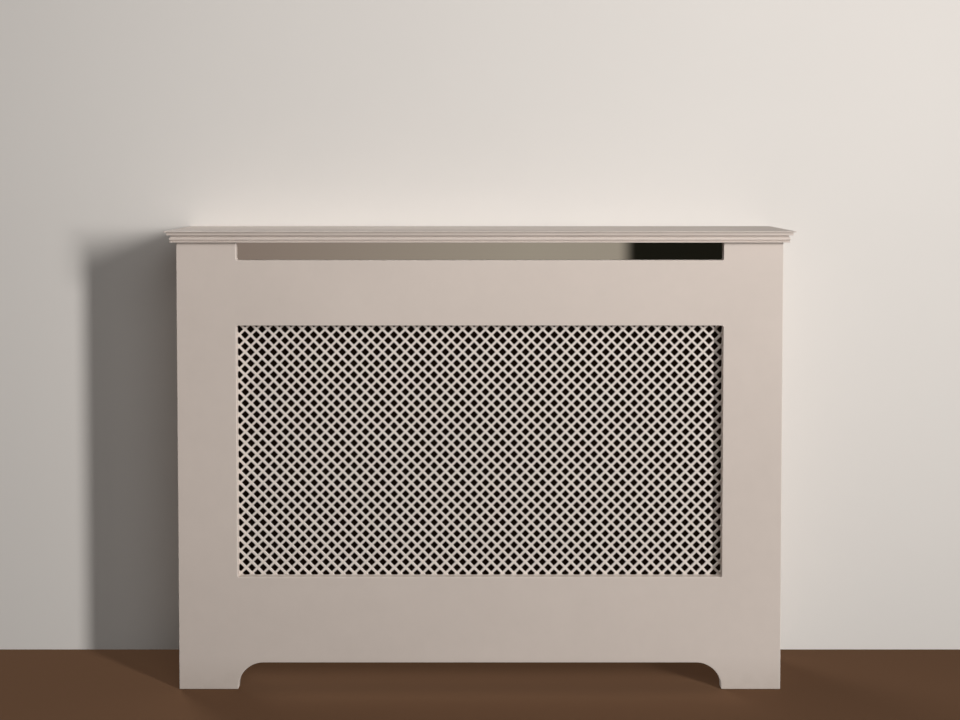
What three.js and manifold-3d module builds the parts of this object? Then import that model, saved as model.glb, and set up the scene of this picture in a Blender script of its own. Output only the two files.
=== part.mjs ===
// Radiator cover cabinet of painted board, open at the back and underneath.
// Millimetres, +Z up. X runs along the cover, its front faces -Y, and the wall is at +Y.
// The origin is on the floor, under the middle of the overall box.
import * as THREE from 'three';
import { mergeGeometries, mergeVertices } from 'three/addons/utils/BufferGeometryUtils.js';
import Module from 'manifold-3d';

const wasm = await Module();
wasm.setup();

// Overall size, over the moulded shelf
const coverLength = 1110;
const coverDepth = 190;
const coverHeight = 820;

// Boards
const shelfThickness = 20;
const frontThickness = 15;
const sideThickness = 15;
const grilleThickness = 4;
const arrisEase = 0.8;

// Front panel: a window, a warm-air slot under the shelf and an arch between the feet
const stileWidth = 105.5;
const windowSill = 202;
const windowHeight = 450;
const windowCornerRadius = 3;
const slotHeight = 32;
const slotCornerRadius = 3.5;
const archHeight = 48;
const archCornerRadius = 48;

// Side panels: a notch at the back clears the skirting board
const skirtingNotchDepth = 20;
const skirtingNotchHeight = 130;

// Shelf moulding from the top down: lip, fillet, quirk, bead and base.
// Each overhang is measured out from the face of the panel below.
const lipOverhang = 18;
const lipHeight = 2;
const filletOverhang = 11;
const filletHeight = 5.4;
const quirkOverhang = 6.7;
const beadOverhang = 8.2;
const beadRadius = 4.2;
const baseOverhang = 6;
const baseHeight = 2;

// Grille sheet, punched with square holes that stand on their corners.
// The pattern is drawn coarser than the real sheet's, in its proportions, to keep the facets few.
const latticePitch = 45.3;
const holeDiagonal = 25.5;
const latticeLift = 1.7;
const grilleOverlap = 27;
const grilleScrewInset = 6.5;
const grilleScrewSpacing = 290;

// Cam fittings: a bolt in one board, and a turning cam in the edge of the next
const camRadius = 7.5;
const camHeight = 12;
const camSetback = 34;
const camCavityRadius = 5.45;
const camCrossLength = 6;
const camCrossWidth = 1.4;
const camCrossDepth = 2;
const boltHeadRadius = 3.2;
const boltHeadStart = 1.2;
const boltHeadEnd = 4;
const boltNeckRadius = 1.8;
const boltShankRadius = 3.5;
const boltThreadRadius = 3;
const boltThreadLength = 10.5;
const sideBoltInset = 110;
const topCamBackset = 60;

// Wooden dowels
const dowelRadius = 4;
const dowelLength = 30;
const dowelInFace = 10;
const dowelChamfer = 1;
const sideDowelInset = 300;
const topDowelInset = 28;

// Screws with pan heads
const screwRadius = 1.75;
const screwLength = 13;
const screwTip = 4;
const screwHeadRadius = 3.4;
const screwHeadHeight = 2.2;

// Angle brackets that tie the shelf to the wall
const bracketLeg = 30;
const bracketWidth = 20;
const bracketThickness = 2;
const bracketInset = 42;
const bracketHoleRadius = 2.5;
const bracketScrewSpacing = 14;

// Clearances and facets
const fitGap = 0.3;
const cutOverrun = 1;
const boreSides = 8;
const turnedSides = 8;
const camSides = 14;
const archSegments = 8;
const cornerSegments = 2;
const beadSegments = 6;

// Places that follow from the sizes above
const bodyWidth = coverLength - 2 * lipOverhang;
const bodyHeight = coverHeight - shelfThickness;
const frontY = lipOverhang - coverDepth / 2;
const wallY = coverDepth / 2;
const panelBackY = frontY + frontThickness;
const sideInnerX = bodyWidth / 2 - sideThickness;
const sideMiddleX = bodyWidth / 2 - sideThickness / 2;
const windowWidth = bodyWidth - 2 * stileWidth;
const windowTop = windowSill + windowHeight;
const slotFloor = bodyHeight - slotHeight;
const grilleWidth = windowWidth + 2 * grilleOverlap;
const grilleHeight = windowHeight + 2 * grilleOverlap;
const grilleMiddleZ = windowSill + windowHeight / 2;
const camBoreRadius = camRadius + fitGap;
const topCamY = wallY - topCamBackset;
const topDowelYs = [panelBackY + topDowelInset, wallY - topDowelInset];
const frontJointZs = { low: sideBoltInset, high: bodyHeight - sideBoltInset };
const frontDowelZs = { low: sideDowelInset, high: bodyHeight - sideDowelInset };
const bracketX = sideInnerX - bracketInset;
const stileX = (bodyWidth - stileWidth) / 2;

const axisX = new THREE.Vector3(1, 0, 0);
const axisY = new THREE.Vector3(0, 1, 0);
const axisZ = new THREE.Vector3(0, 0, 1);
const backward = axisY;
const forward = axisY.clone().negate();
const upward = axisZ;
const downward = axisZ.clone().negate();

const paint = { color: 0xc9bbae, roughness: 0.55, metalness: 0 };
const grillePaint = { color: 0xcfc4b8, roughness: 0.6, metalness: 0 };
const beech = { color: 0xc9a877, roughness: 0.7, metalness: 0 };
const castZinc = { color: 0xa4a6a8, roughness: 0.45, metalness: 0.9 };
const platedSteel = { color: 0xb9bbbc, roughness: 0.35, metalness: 1 };

const cover = new THREE.Group();

// Adds one named piece with a finish of its own.
function addPiece(name, geometry, finish, parent = cover) {
  const mesh = new THREE.Mesh(geometry, new THREE.MeshStandardMaterial(finish));
  mesh.name = name;
  parent.add(mesh);
  return mesh;
}

// Turns a closed geometry into a solid that can be cut and joined.
function toSolid(geometry) {
  const bare = geometry.clone();
  bare.deleteAttribute('normal');
  bare.deleteAttribute('uv');
  const merged = mergeVertices(bare, 1e-4);
  return new wasm.Manifold(new wasm.Mesh({
    numProp: 3,
    vertProperties: new Float32Array(merged.attributes.position.array),
    triVerts: new Uint32Array(merged.index.array),
  }));
}

function toGeometry(solid) {
  const mesh = solid.getMesh();
  const geometry = new THREE.BufferGeometry();
  geometry.setAttribute('position', new THREE.BufferAttribute(mesh.vertProperties, 3));
  geometry.setIndex(new THREE.BufferAttribute(mesh.triVerts, 1));
  geometry.computeVertexNormals();
  return geometry;
}

function cutAll(geometry, cutters) {
  const solid = cutters.reduce((rest, cutter) => rest.subtract(toSolid(cutter)), toSolid(geometry));
  return toGeometry(solid);
}

// A round cutter that starts just outside its mouth and runs inwards along a direction.
function bore(radius, depth, mouth, direction, sides = boreSides) {
  const length = depth + cutOverrun;
  const cutter = new THREE.CylinderGeometry(radius, radius, length, sides);
  cutter.applyQuaternion(new THREE.Quaternion().setFromUnitVectors(axisY, direction));
  const middle = mouth.clone().addScaledVector(direction, (depth - cutOverrun) / 2);
  return cutter.translate(middle.x, middle.y, middle.z);
}

// Extrudes an outline drawn in X-Z through a thickness, forwards from backY.
function boardFacingFront(shape, thickness, backY) {
  const board = new THREE.ExtrudeGeometry(shape, { depth: thickness, bevelEnabled: false });
  return board.rotateX(Math.PI / 2).translate(0, backY, 0);
}

// Extrudes an outline drawn in Y-Z through a thickness, along +X from startX.
function boardFacingSide(shape, thickness, startX) {
  const board = new THREE.ExtrudeGeometry(shape, { depth: thickness, bevelEnabled: false });
  return board.applyMatrix4(new THREE.Matrix4().makeBasis(axisY, axisZ, axisX)).translate(startX, 0, 0);
}

// Extrudes a board along +Z from 0, with every long arris eased by a small chamfer.
function easedBoard(shape, thickness) {
  const board = new THREE.ExtrudeGeometry(shape, {
    depth: thickness - 2 * arrisEase,
    bevelEnabled: true,
    bevelThickness: arrisEase,
    bevelSize: arrisEase,
    bevelOffset: -arrisEase,
    bevelSegments: 1,
  });
  return board.translate(0, 0, arrisEase);
}

// Points of an arc, both ends included.
function arcPoints(x, y, radius, startAngle, endAngle, segments) {
  const arc = new THREE.EllipseCurve(x, y, radius, radius, startAngle, endAngle, endAngle < startAngle);
  return arc.getPoints(segments);
}

// Points of the shelf moulding as (overhang, height), from the lip down to the base.
function mouldingProfile() {
  const filletTop = coverHeight - lipHeight;
  const filletBase = filletTop - filletHeight;
  const baseTop = bodyHeight + baseHeight;
  const beadX = beadOverhang - beadRadius;
  const beadStart = Math.acos(Math.min(1, (quirkOverhang - beadX) / beadRadius));
  return [
    new THREE.Vector2(lipOverhang - arrisEase / 2, coverHeight),
    new THREE.Vector2(lipOverhang, coverHeight - arrisEase / 2),
    new THREE.Vector2(lipOverhang, filletTop),
    new THREE.Vector2(filletOverhang, filletTop),
    new THREE.Vector2(filletOverhang, filletBase),
    new THREE.Vector2(quirkOverhang, filletBase),
    ...arcPoints(beadX, baseTop + beadRadius, beadRadius, beadStart, -Math.PI / 2, beadSegments),
    new THREE.Vector2(baseOverhang, baseTop),
    new THREE.Vector2(baseOverhang, bodyHeight),
  ];
}

// The shelf is where a long board with the moulding on its front edge meets a deep board
// with the same moulding on both ends, so that the two mouldings mitre at the corners.
function makeShelf() {
  const profile = mouldingProfile();
  const frontEdge = profile.map((p) => new THREE.Vector2(frontY - p.x, p.y));
  const sideView = new THREE.Shape([
    new THREE.Vector2(wallY, coverHeight),
    ...frontEdge,
    new THREE.Vector2(wallY, bodyHeight),
  ]);
  const leftEnd = profile.map((p) => new THREE.Vector2(-bodyWidth / 2 - p.x, p.y));
  const rightEnd = profile.map((p) => new THREE.Vector2(bodyWidth / 2 + p.x, p.y)).reverse();
  const frontView = new THREE.Shape([...leftEnd, ...rightEnd]);
  const longBoard = boardFacingSide(sideView, coverLength + 2 * cutOverrun, -coverLength / 2 - cutOverrun);
  const deepBoard = boardFacingFront(frontView, coverDepth + cutOverrun, wallY);
  const shelf = toGeometry(toSolid(longBoard).intersect(toSolid(deepBoard)));

  const cutters = [];
  for (const x of [-sideMiddleX, sideMiddleX]) {
    const camMouth = new THREE.Vector3(x, topCamY, bodyHeight);
    cutters.push(bore(boltThreadRadius + fitGap, boltThreadLength + fitGap, camMouth, upward));
    for (const y of topDowelYs) {
      cutters.push(bore(dowelRadius + fitGap, dowelInFace + fitGap, new THREE.Vector3(x, y, bodyHeight), upward));
    }
  }
  for (const x of [-stileX, stileX]) {
    const mouth = new THREE.Vector3(x, frontY + frontThickness / 2, bodyHeight);
    cutters.push(bore(dowelRadius + fitGap, dowelInFace + fitGap, mouth, upward));
  }
  for (const place of bracketScrewPlaces()) {
    const mouth = new THREE.Vector3(place.x, place.y, bodyHeight);
    cutters.push(bore(screwRadius + fitGap, screwLength - bracketThickness + fitGap, mouth, upward));
  }
  addPiece('top_shelf', cutAll(shelf, cutters), paint);
}

// Right half of the front panel's outline, from the middle of the arch up to the slot.
function frontOutlineHalf() {
  const half = bodyWidth / 2;
  const windowHalf = windowWidth / 2;
  const archRadius = Math.min(archCornerRadius, archHeight);
  const archX = windowHalf - archRadius;
  const slotX = windowHalf - slotCornerRadius;
  const slotZ = slotFloor + slotCornerRadius;
  return [
    ...arcPoints(archX, archHeight - archRadius, archRadius, Math.PI / 2, 0, archSegments),
    ...(archHeight > archRadius ? [new THREE.Vector2(windowHalf, 0)] : []),
    new THREE.Vector2(half, 0),
    new THREE.Vector2(half, bodyHeight),
    new THREE.Vector2(windowHalf, bodyHeight),
    ...arcPoints(slotX, slotZ, slotCornerRadius, 0, -Math.PI / 2, cornerSegments),
  ];
}

// The window's outline, with its small rounded corners.
function windowOutline() {
  const cornerX = windowWidth / 2 - windowCornerRadius;
  const lowZ = windowSill + windowCornerRadius;
  const highZ = windowTop - windowCornerRadius;
  const corners = [[cornerX, lowZ], [cornerX, highZ], [-cornerX, highZ], [-cornerX, lowZ]];
  return corners.flatMap(([x, z], i) => {
    const start = (i - 1) * Math.PI / 2;
    return arcPoints(x, z, windowCornerRadius, start, start + Math.PI / 2, cornerSegments);
  });
}

// One board: feet and arch below, window in the middle, slot open to the shelf above.
function makeFrontPanel() {
  const rightHalf = frontOutlineHalf();
  const leftHalf = rightHalf.map((p) => new THREE.Vector2(-p.x, p.y)).reverse();
  const outline = new THREE.Shape([...rightHalf, ...leftHalf]);
  outline.holes.push(new THREE.Path(windowOutline()));
  const panel = easedBoard(outline, frontThickness).rotateX(Math.PI / 2).translate(0, panelBackY, 0);

  const cutters = [];
  for (const x of [-sideMiddleX, sideMiddleX]) {
    for (const z of Object.values(frontJointZs)) {
      const mouth = new THREE.Vector3(x, panelBackY, z);
      cutters.push(bore(boltThreadRadius + fitGap, boltThreadLength + fitGap, mouth, forward));
    }
    for (const z of Object.values(frontDowelZs)) {
      const mouth = new THREE.Vector3(x, panelBackY, z);
      cutters.push(bore(dowelRadius + fitGap, dowelInFace + fitGap, mouth, forward));
    }
  }
  for (const x of [-stileX, stileX]) {
    const mouth = new THREE.Vector3(x, frontY + frontThickness / 2, bodyHeight);
    cutters.push(bore(dowelRadius + fitGap, dowelLength - dowelInFace + fitGap, mouth, downward));
  }
  for (const place of grilleScrewPlaces()) {
    const mouth = new THREE.Vector3(place.x, panelBackY, place.y);
    cutters.push(bore(screwRadius + fitGap, screwLength - grilleThickness + fitGap, mouth, forward));
  }
  addPiece('front_panel', cutAll(panel, cutters), paint);
}

// Side board with its skirting notch, cam bores in its inner face and bores in two edges.
function makeSidePanel(name, side) {
  const notchY = wallY - skirtingNotchDepth;
  const outline = new THREE.Shape([
    new THREE.Vector2(panelBackY, 0),
    new THREE.Vector2(notchY, 0),
    new THREE.Vector2(notchY, skirtingNotchHeight),
    new THREE.Vector2(wallY, skirtingNotchHeight),
    new THREE.Vector2(wallY, bodyHeight),
    new THREE.Vector2(panelBackY, bodyHeight),
  ]);
  const panel = easedBoard(outline, sideThickness);
  panel.applyMatrix4(new THREE.Matrix4().makeBasis(axisY, axisZ, axisX));
  panel.translate(side > 0 ? sideInnerX : -bodyWidth / 2, 0, 0);

  const outward = axisX.clone().multiplyScalar(side);
  const innerX = side * sideInnerX;
  const middleX = side * sideMiddleX;
  const camDepth = camHeight + fitGap;
  const shankBore = boltShankRadius + fitGap;
  const shankDepth = camSetback - camRadius / 2;
  const dowelDepth = dowelLength - dowelInFace + fitGap;
  const cutters = [];
  for (const z of Object.values(frontJointZs)) {
    const camMouth = new THREE.Vector3(innerX, panelBackY + camSetback, z);
    cutters.push(bore(camBoreRadius, camDepth, camMouth, outward, camSides));
    cutters.push(bore(shankBore, shankDepth, new THREE.Vector3(middleX, panelBackY, z), backward));
  }
  const topCamMouth = new THREE.Vector3(innerX, topCamY, bodyHeight - camSetback);
  cutters.push(bore(camBoreRadius, camDepth, topCamMouth, outward, camSides));
  cutters.push(bore(shankBore, shankDepth, new THREE.Vector3(middleX, topCamY, bodyHeight), downward));
  for (const z of Object.values(frontDowelZs)) {
    cutters.push(bore(dowelRadius + fitGap, dowelDepth, new THREE.Vector3(middleX, panelBackY, z), backward));
  }
  for (const y of topDowelYs) {
    cutters.push(bore(dowelRadius + fitGap, dowelDepth, new THREE.Vector3(middleX, y, bodyHeight), downward));
  }
  addPiece(name, cutAll(panel, cutters), paint);
}

// Places of the grille's screws round its margin, as (x, z) pairs.
function grilleScrewPlaces() {
  const width = grilleWidth - 2 * grilleScrewInset;
  const height = grilleHeight - 2 * grilleScrewInset;
  const across = Math.max(1, Math.round(width / grilleScrewSpacing));
  const up = Math.max(1, Math.round(height / grilleScrewSpacing));
  const places = [];
  for (const z of [grilleMiddleZ - height / 2, grilleMiddleZ + height / 2]) {
    for (let i = 0; i <= across; i += 1) {
      places.push(new THREE.Vector2((i / across - 0.5) * width, z));
    }
  }
  for (const x of [-width / 2, width / 2]) {
    for (let i = 1; i < up; i += 1) {
      places.push(new THREE.Vector2(x, grilleMiddleZ + (i / up - 0.5) * height));
    }
  }
  return places;
}

// Centres of the diamond holes: rows half a pitch apart, each moved half a pitch along.
function latticeCentres() {
  const across = Math.round(windowWidth / latticePitch);
  const rows = 2 * Math.round(windowHeight / latticePitch);
  const centres = [];
  for (let row = 0; row <= rows; row += 1) {
    const count = row % 2 === 0 ? across : across + 1;
    const z = grilleMiddleZ + latticeLift + (row - rows / 2) * latticePitch / 2;
    for (let i = 0; i < count; i += 1) {
      centres.push(new THREE.Vector2((i - (count - 1) / 2) * latticePitch, z));
    }
  }
  return centres;
}

// The punched sheet that closes the window from behind. All its punches cut at once.
function makeGrille() {
  const middle = new THREE.Vector3(0, panelBackY + grilleThickness / 2, grilleMiddleZ);
  const sheet = new THREE.BoxGeometry(grilleWidth, grilleThickness, grilleHeight);
  sheet.translate(middle.x, middle.y, middle.z);
  const punchLength = grilleThickness + 2 * cutOverrun;
  const diamond = new THREE.CylinderGeometry(holeDiagonal / 2, holeDiagonal / 2, punchLength, 4);
  const drill = new THREE.CylinderGeometry(screwRadius + fitGap, screwRadius + fitGap, punchLength, boreSides);
  const punches = [
    ...latticeCentres().map((centre) => diamond.clone().translate(centre.x, middle.y, centre.y)),
    ...grilleScrewPlaces().map((place) => drill.clone().translate(place.x, middle.y, place.y)),
  ];
  addPiece('grille_panel', cutAll(sheet, [mergeGeometries(punches)]), grillePaint);
}

// A turned piece from a profile of (radius, place along the axis) pairs.
function turned(profile, sides = turnedSides) {
  return new THREE.LatheGeometry(profile.map(([radius, along]) => new THREE.Vector2(radius, along)), sides);
}

function screwShape() {
  return turned([
    [0, -screwLength],
    [screwRadius, screwTip - screwLength],
    [screwRadius, 0],
    [screwHeadRadius, 0],
    [screwHeadRadius * 0.6, screwHeadHeight],
    [0, screwHeadHeight],
  ]);
}

function dowelShape() {
  const start = dowelInFace - dowelLength;
  return turned([
    [0, start],
    [dowelRadius - dowelChamfer, start],
    [dowelRadius, start + dowelChamfer],
    [dowelRadius, dowelInFace - dowelChamfer],
    [dowelRadius - dowelChamfer, dowelInFace],
    [0, dowelInFace],
  ]);
}

// The bolt points along +Y from the cam's centre: head, neck, shank, then thread.
function camBoltShape() {
  const threadEnd = camSetback + boltThreadLength;
  return turned([
    [0, boltHeadStart],
    [boltHeadRadius, boltHeadStart],
    [boltHeadRadius, boltHeadEnd],
    [boltNeckRadius, boltHeadEnd],
    [boltNeckRadius, camBoreRadius],
    [boltShankRadius, camBoreRadius],
    [boltShankRadius, camSetback],
    [boltThreadRadius, camSetback],
    [boltThreadRadius, threadEnd],
    [0, threadEnd],
  ]);
}

// The cam turns about Z, with its driving face at the top. Its bolt comes in along +Y.
// A half-turn anticlockwise brings the wide mouth round to the bolt's head and frees it.
function camShape() {
  const faceZ = sideThickness / 2;
  const headHalf = boltHeadRadius + fitGap;
  const neckHalf = boltNeckRadius + fitGap;
  const body = new THREE.CylinderGeometry(camRadius, camRadius, camHeight, camSides);
  body.rotateX(Math.PI / 2).translate(0, 0, faceZ - camHeight / 2);

  const cavity = new THREE.CylinderGeometry(camCavityRadius, camCavityRadius, 2 * headHalf, camSides);
  cavity.rotateX(Math.PI / 2);

  const sweepMargin = Math.asin(neckHalf / camCavityRadius);
  const sweepEnd = Math.PI / 2 + sweepMargin;
  const sweep = new THREE.Shape([
    ...arcPoints(0, 0, camRadius + cutOverrun, -sweepEnd, sweepEnd, camSides / 2),
    ...arcPoints(0, 0, camCavityRadius - cutOverrun, sweepEnd, -sweepEnd, camSides / 2),
  ]);
  const neckSlot = new THREE.ExtrudeGeometry(sweep, { depth: 2 * neckHalf, bevelEnabled: false });
  neckSlot.translate(0, 0, -neckHalf);

  const mouth = new THREE.BoxGeometry(2 * headHalf, camRadius + cutOverrun, 2 * headHalf);
  mouth.translate(0, -(camRadius + cutOverrun) / 2, 0);

  const crossDeep = camCrossDepth + cutOverrun;
  const crossZ = faceZ + cutOverrun - crossDeep / 2;
  const bars = [
    new THREE.BoxGeometry(camCrossLength, camCrossWidth, crossDeep).translate(0, 0, crossZ),
    new THREE.BoxGeometry(camCrossWidth, camCrossLength, crossDeep).translate(0, 0, crossZ),
  ];
  return cutAll(body, [cavity, neckSlot, mouth, ...bars]);
}

// Puts a cam and its bolt at a place, the bolt lying along boltDirection.
function addCamFitting(label, side, place, boltDirection, camGeometry, boltGeometry) {
  const fitting = new THREE.Group();
  const faceDirection = axisX.clone().multiplyScalar(-side);
  const across = boltDirection.clone().cross(faceDirection);
  fitting.quaternion.setFromRotationMatrix(
    new THREE.Matrix4().makeBasis(across, boltDirection, faceDirection),
  );
  fitting.position.copy(place);
  cover.add(fitting);
  addPiece(`cam_${label}`, camGeometry, castZinc, fitting);
  addPiece(`cam_bolt_${label}`, boltGeometry, platedSteel, fitting);
}

function makeCamFittings() {
  const camGeometry = camShape();
  const boltGeometry = camBoltShape();
  for (const [sideName, side] of [['left', -1], ['right', 1]]) {
    const x = side * sideMiddleX;
    for (const [level, z] of Object.entries(frontJointZs)) {
      const place = new THREE.Vector3(x, panelBackY + camSetback, z);
      addCamFitting(`${sideName}_${level}`, side, place, forward, camGeometry, boltGeometry);
    }
    const topPlace = new THREE.Vector3(x, topCamY, bodyHeight - camSetback);
    addCamFitting(`${sideName}_top`, side, topPlace, upward, camGeometry, boltGeometry);
  }
}

// Adds a turned piece whose axis, local +Y, lies along a direction.
function addAlong(name, geometry, finish, place, direction) {
  const mesh = addPiece(name, geometry, finish);
  mesh.position.copy(place);
  mesh.quaternion.setFromUnitVectors(axisY, direction);
}

function makeDowels() {
  const geometry = dowelShape();
  for (const [sideName, side] of [['left', -1], ['right', 1]]) {
    const x = side * sideMiddleX;
    for (const [level, z] of Object.entries(frontDowelZs)) {
      addAlong(`dowel_${sideName}_${level}`, geometry, beech, new THREE.Vector3(x, panelBackY, z), forward);
    }
    topDowelYs.forEach((y, i) => {
      const name = `dowel_${sideName}_top_${i === 0 ? 'front' : 'back'}`;
      addAlong(name, geometry, beech, new THREE.Vector3(x, y, bodyHeight), upward);
    });
    const stilePlace = new THREE.Vector3(side * stileX, frontY + frontThickness / 2, bodyHeight);
    addAlong(`dowel_${sideName}_stile`, geometry, beech, stilePlace, upward);
  }
}

function makeGrilleScrews() {
  const geometry = screwShape();
  grilleScrewPlaces().forEach((place, i) => {
    const seat = new THREE.Vector3(place.x, panelBackY + grilleThickness, place.y);
    addAlong(`grille_screw_${String(i + 1).padStart(2, '0')}`, geometry, platedSteel, seat, backward);
  });
}

// Places of the bracket screws in the shelf's underside, as (x, y) pairs.
function bracketScrewPlaces() {
  const y = wallY - bracketThickness - (bracketLeg - bracketThickness) / 2;
  return [-bracketX, bracketX].flatMap((x) => [-1, 1].map(
    (step) => new THREE.Vector2(x, y + step * bracketScrewSpacing / 2),
  ));
}

// Bent steel angle: one leg under the shelf, the other flat against the wall.
function makeWallBracket(name, middleX) {
  const top = bodyHeight;
  const bend = bracketThickness / 2;
  const profile = new THREE.Shape();
  profile.moveTo(wallY - bracketLeg, top);
  profile.lineTo(wallY - bracketLeg, top - bracketThickness);
  profile.lineTo(wallY - bracketThickness - bend, top - bracketThickness);
  profile.lineTo(wallY - bracketThickness, top - bracketThickness - bend);
  profile.lineTo(wallY - bracketThickness, top - bracketLeg);
  profile.lineTo(wallY, top - bracketLeg);
  profile.lineTo(wallY, top - bend);
  profile.lineTo(wallY - bend, top);
  profile.closePath();
  const angle = boardFacingSide(profile, bracketWidth, middleX - bracketWidth / 2);
  const wallHoleZ = top - bracketThickness - (bracketLeg - bracketThickness) / 2;
  const deep = bracketThickness + 2 * cutOverrun;
  const cutters = [bore(bracketHoleRadius, deep, new THREE.Vector3(middleX, wallY, wallHoleZ), forward)];
  for (const place of bracketScrewPlaces()) {
    if (Math.sign(place.x) === Math.sign(middleX)) {
      cutters.push(bore(screwRadius + fitGap, deep, new THREE.Vector3(place.x, place.y, top), downward));
    }
  }
  addPiece(name, cutAll(angle, cutters), platedSteel);
}

function makeBracketScrews() {
  const geometry = screwShape();
  bracketScrewPlaces().forEach((place, i) => {
    const seat = new THREE.Vector3(place.x, place.y, bodyHeight - bracketThickness);
    addAlong(`bracket_screw_${i + 1}`, geometry, platedSteel, seat, downward);
  });
}

makeShelf();
makeFrontPanel();
makeGrille();
makeSidePanel('left_side_panel', -1);
makeSidePanel('right_side_panel', 1);
makeCamFittings();
makeDowels();
makeGrilleScrews();
makeWallBracket('left_wall_bracket', -bracketX);
makeWallBracket('right_wall_bracket', bracketX);
makeBracketScrews();

export default cover;
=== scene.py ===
import math
import bpy
import bmesh
import numpy as np
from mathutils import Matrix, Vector
from mathutils.geometry import delaunay_2d_cdt


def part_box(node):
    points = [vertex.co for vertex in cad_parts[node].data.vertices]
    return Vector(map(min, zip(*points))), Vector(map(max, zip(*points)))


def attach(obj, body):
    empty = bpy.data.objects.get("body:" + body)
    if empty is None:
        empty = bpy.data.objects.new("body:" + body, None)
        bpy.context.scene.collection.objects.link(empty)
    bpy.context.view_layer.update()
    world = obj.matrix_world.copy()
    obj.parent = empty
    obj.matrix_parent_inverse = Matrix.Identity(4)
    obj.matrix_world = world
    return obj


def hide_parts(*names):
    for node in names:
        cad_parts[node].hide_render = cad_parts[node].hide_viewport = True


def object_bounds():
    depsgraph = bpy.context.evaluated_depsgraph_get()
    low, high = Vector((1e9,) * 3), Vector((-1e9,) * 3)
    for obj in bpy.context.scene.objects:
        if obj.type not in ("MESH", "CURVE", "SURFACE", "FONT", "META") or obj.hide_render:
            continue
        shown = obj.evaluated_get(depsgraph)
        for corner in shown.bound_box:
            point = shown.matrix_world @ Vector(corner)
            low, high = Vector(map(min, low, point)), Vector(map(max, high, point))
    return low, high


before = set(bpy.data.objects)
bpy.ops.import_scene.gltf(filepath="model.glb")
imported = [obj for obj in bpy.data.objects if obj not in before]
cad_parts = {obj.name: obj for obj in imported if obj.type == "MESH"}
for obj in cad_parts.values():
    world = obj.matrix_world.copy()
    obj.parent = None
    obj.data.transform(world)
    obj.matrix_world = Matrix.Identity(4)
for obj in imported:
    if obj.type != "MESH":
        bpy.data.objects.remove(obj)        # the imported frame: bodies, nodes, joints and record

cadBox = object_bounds()
scene = bpy.context.scene
print("frame loaded:", len(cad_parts), "nodes")


# the eye stands a little over two metres off, just above the shelf; the slight pitch and the small shift
# leave room over the shelf in turned views
cameraView = {"eye": (0.0004, -2.139, 0.93), "lens": 43.82, "pitch": 1.71, "shiftY": -0.163,
              "sensorWidth": 36, "clipStart": 0.05, "clipEnd": 60}


def makeCamera(view):
    cameraData = bpy.data.cameras.new("camera")
    cameraData.lens = view["lens"]
    cameraData.sensor_width = view["sensorWidth"]
    cameraData.shift_y = view["shiftY"]
    cameraData.clip_start = view["clipStart"]
    cameraData.clip_end = view["clipEnd"]
    camera = bpy.data.objects.new("camera", cameraData)
    camera.location = view["eye"]
    camera.rotation_euler = (math.radians(90 - view["pitch"]), 0, 0)
    scene.collection.objects.link(camera)
    scene.camera = camera


makeCamera(cameraView)
scene.view_settings.view_transform = "Standard"


def addNode(tree, kind, inputs=None, **settings):
    # one node with its settings; inputs are plain values or sockets to link from
    node = tree.nodes.new(kind)
    for key, value in settings.items():
        setattr(node, key, value)
    for key, value in (inputs or {}).items():
        if isinstance(value, bpy.types.NodeSocket):
            tree.links.new(value, node.inputs[key])
        else:
            node.inputs[key].default_value = value
    return node


def addMath(tree, operation, first, second, clamped=False):
    return addNode(tree, "ShaderNodeMath", {0: first, 1: second}, operation=operation,
                   use_clamp=clamped).outputs[0]


def addRange(tree, value, given, wanted=(0.0, 1.0), **settings):
    # the value carried from the given range to the wanted one, and held at its ends
    return addNode(tree, "ShaderNodeMapRange", {
        "Value": value, "From Min": given[0], "From Max": given[1],
        "To Min": wanted[0], "To Max": wanted[1]}, **settings).outputs[0]


def addNoise(tree, place, scale, detail, **inputs):
    return addNode(tree, "ShaderNodeTexNoise", {
        "Vector": place, "Scale": scale, "Detail": detail, **inputs}).outputs["Fac"]


def addTint(tree, factor, first, second):
    # a mix of two colours, each a socket or three plain values; 6 and 7 are the node's colour inputs
    inputs = {"Factor": factor}
    for number, colour in ((6, first), (7, second)):
        inputs[number] = colour if isinstance(colour, bpy.types.NodeSocket) else (*colour, 1)
    return addNode(tree, "ShaderNodeMix", inputs, data_type="RGBA").outputs[2]


def addBump(tree, height, strength, distance):
    return addNode(tree, "ShaderNodeBump", {
        "Height": height, "Strength": strength, "Distance": distance}).outputs[0]


def startGroup(name, inputs, outputs):
    # a shader node group with named inputs and outputs
    tree = bpy.data.node_groups.new(name, "ShaderNodeTree")
    for label, kind, value in inputs:
        socket = tree.interface.new_socket(name=label, in_out="INPUT", socket_type=kind)
        socket.default_value = value
    for label, kind in outputs:
        tree.interface.new_socket(name=label, in_out="OUTPUT", socket_type=kind)
    return tree, tree.nodes.new("NodeGroupInput").outputs, tree.nodes.new("NodeGroupOutput").inputs


def startMaterial(name):
    material = bpy.data.materials.new(name)
    material.use_nodes = True
    tree = material.node_tree
    tree.nodes.clear()
    output = tree.nodes.new("ShaderNodeOutputMaterial")
    return material, tree, output


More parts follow.
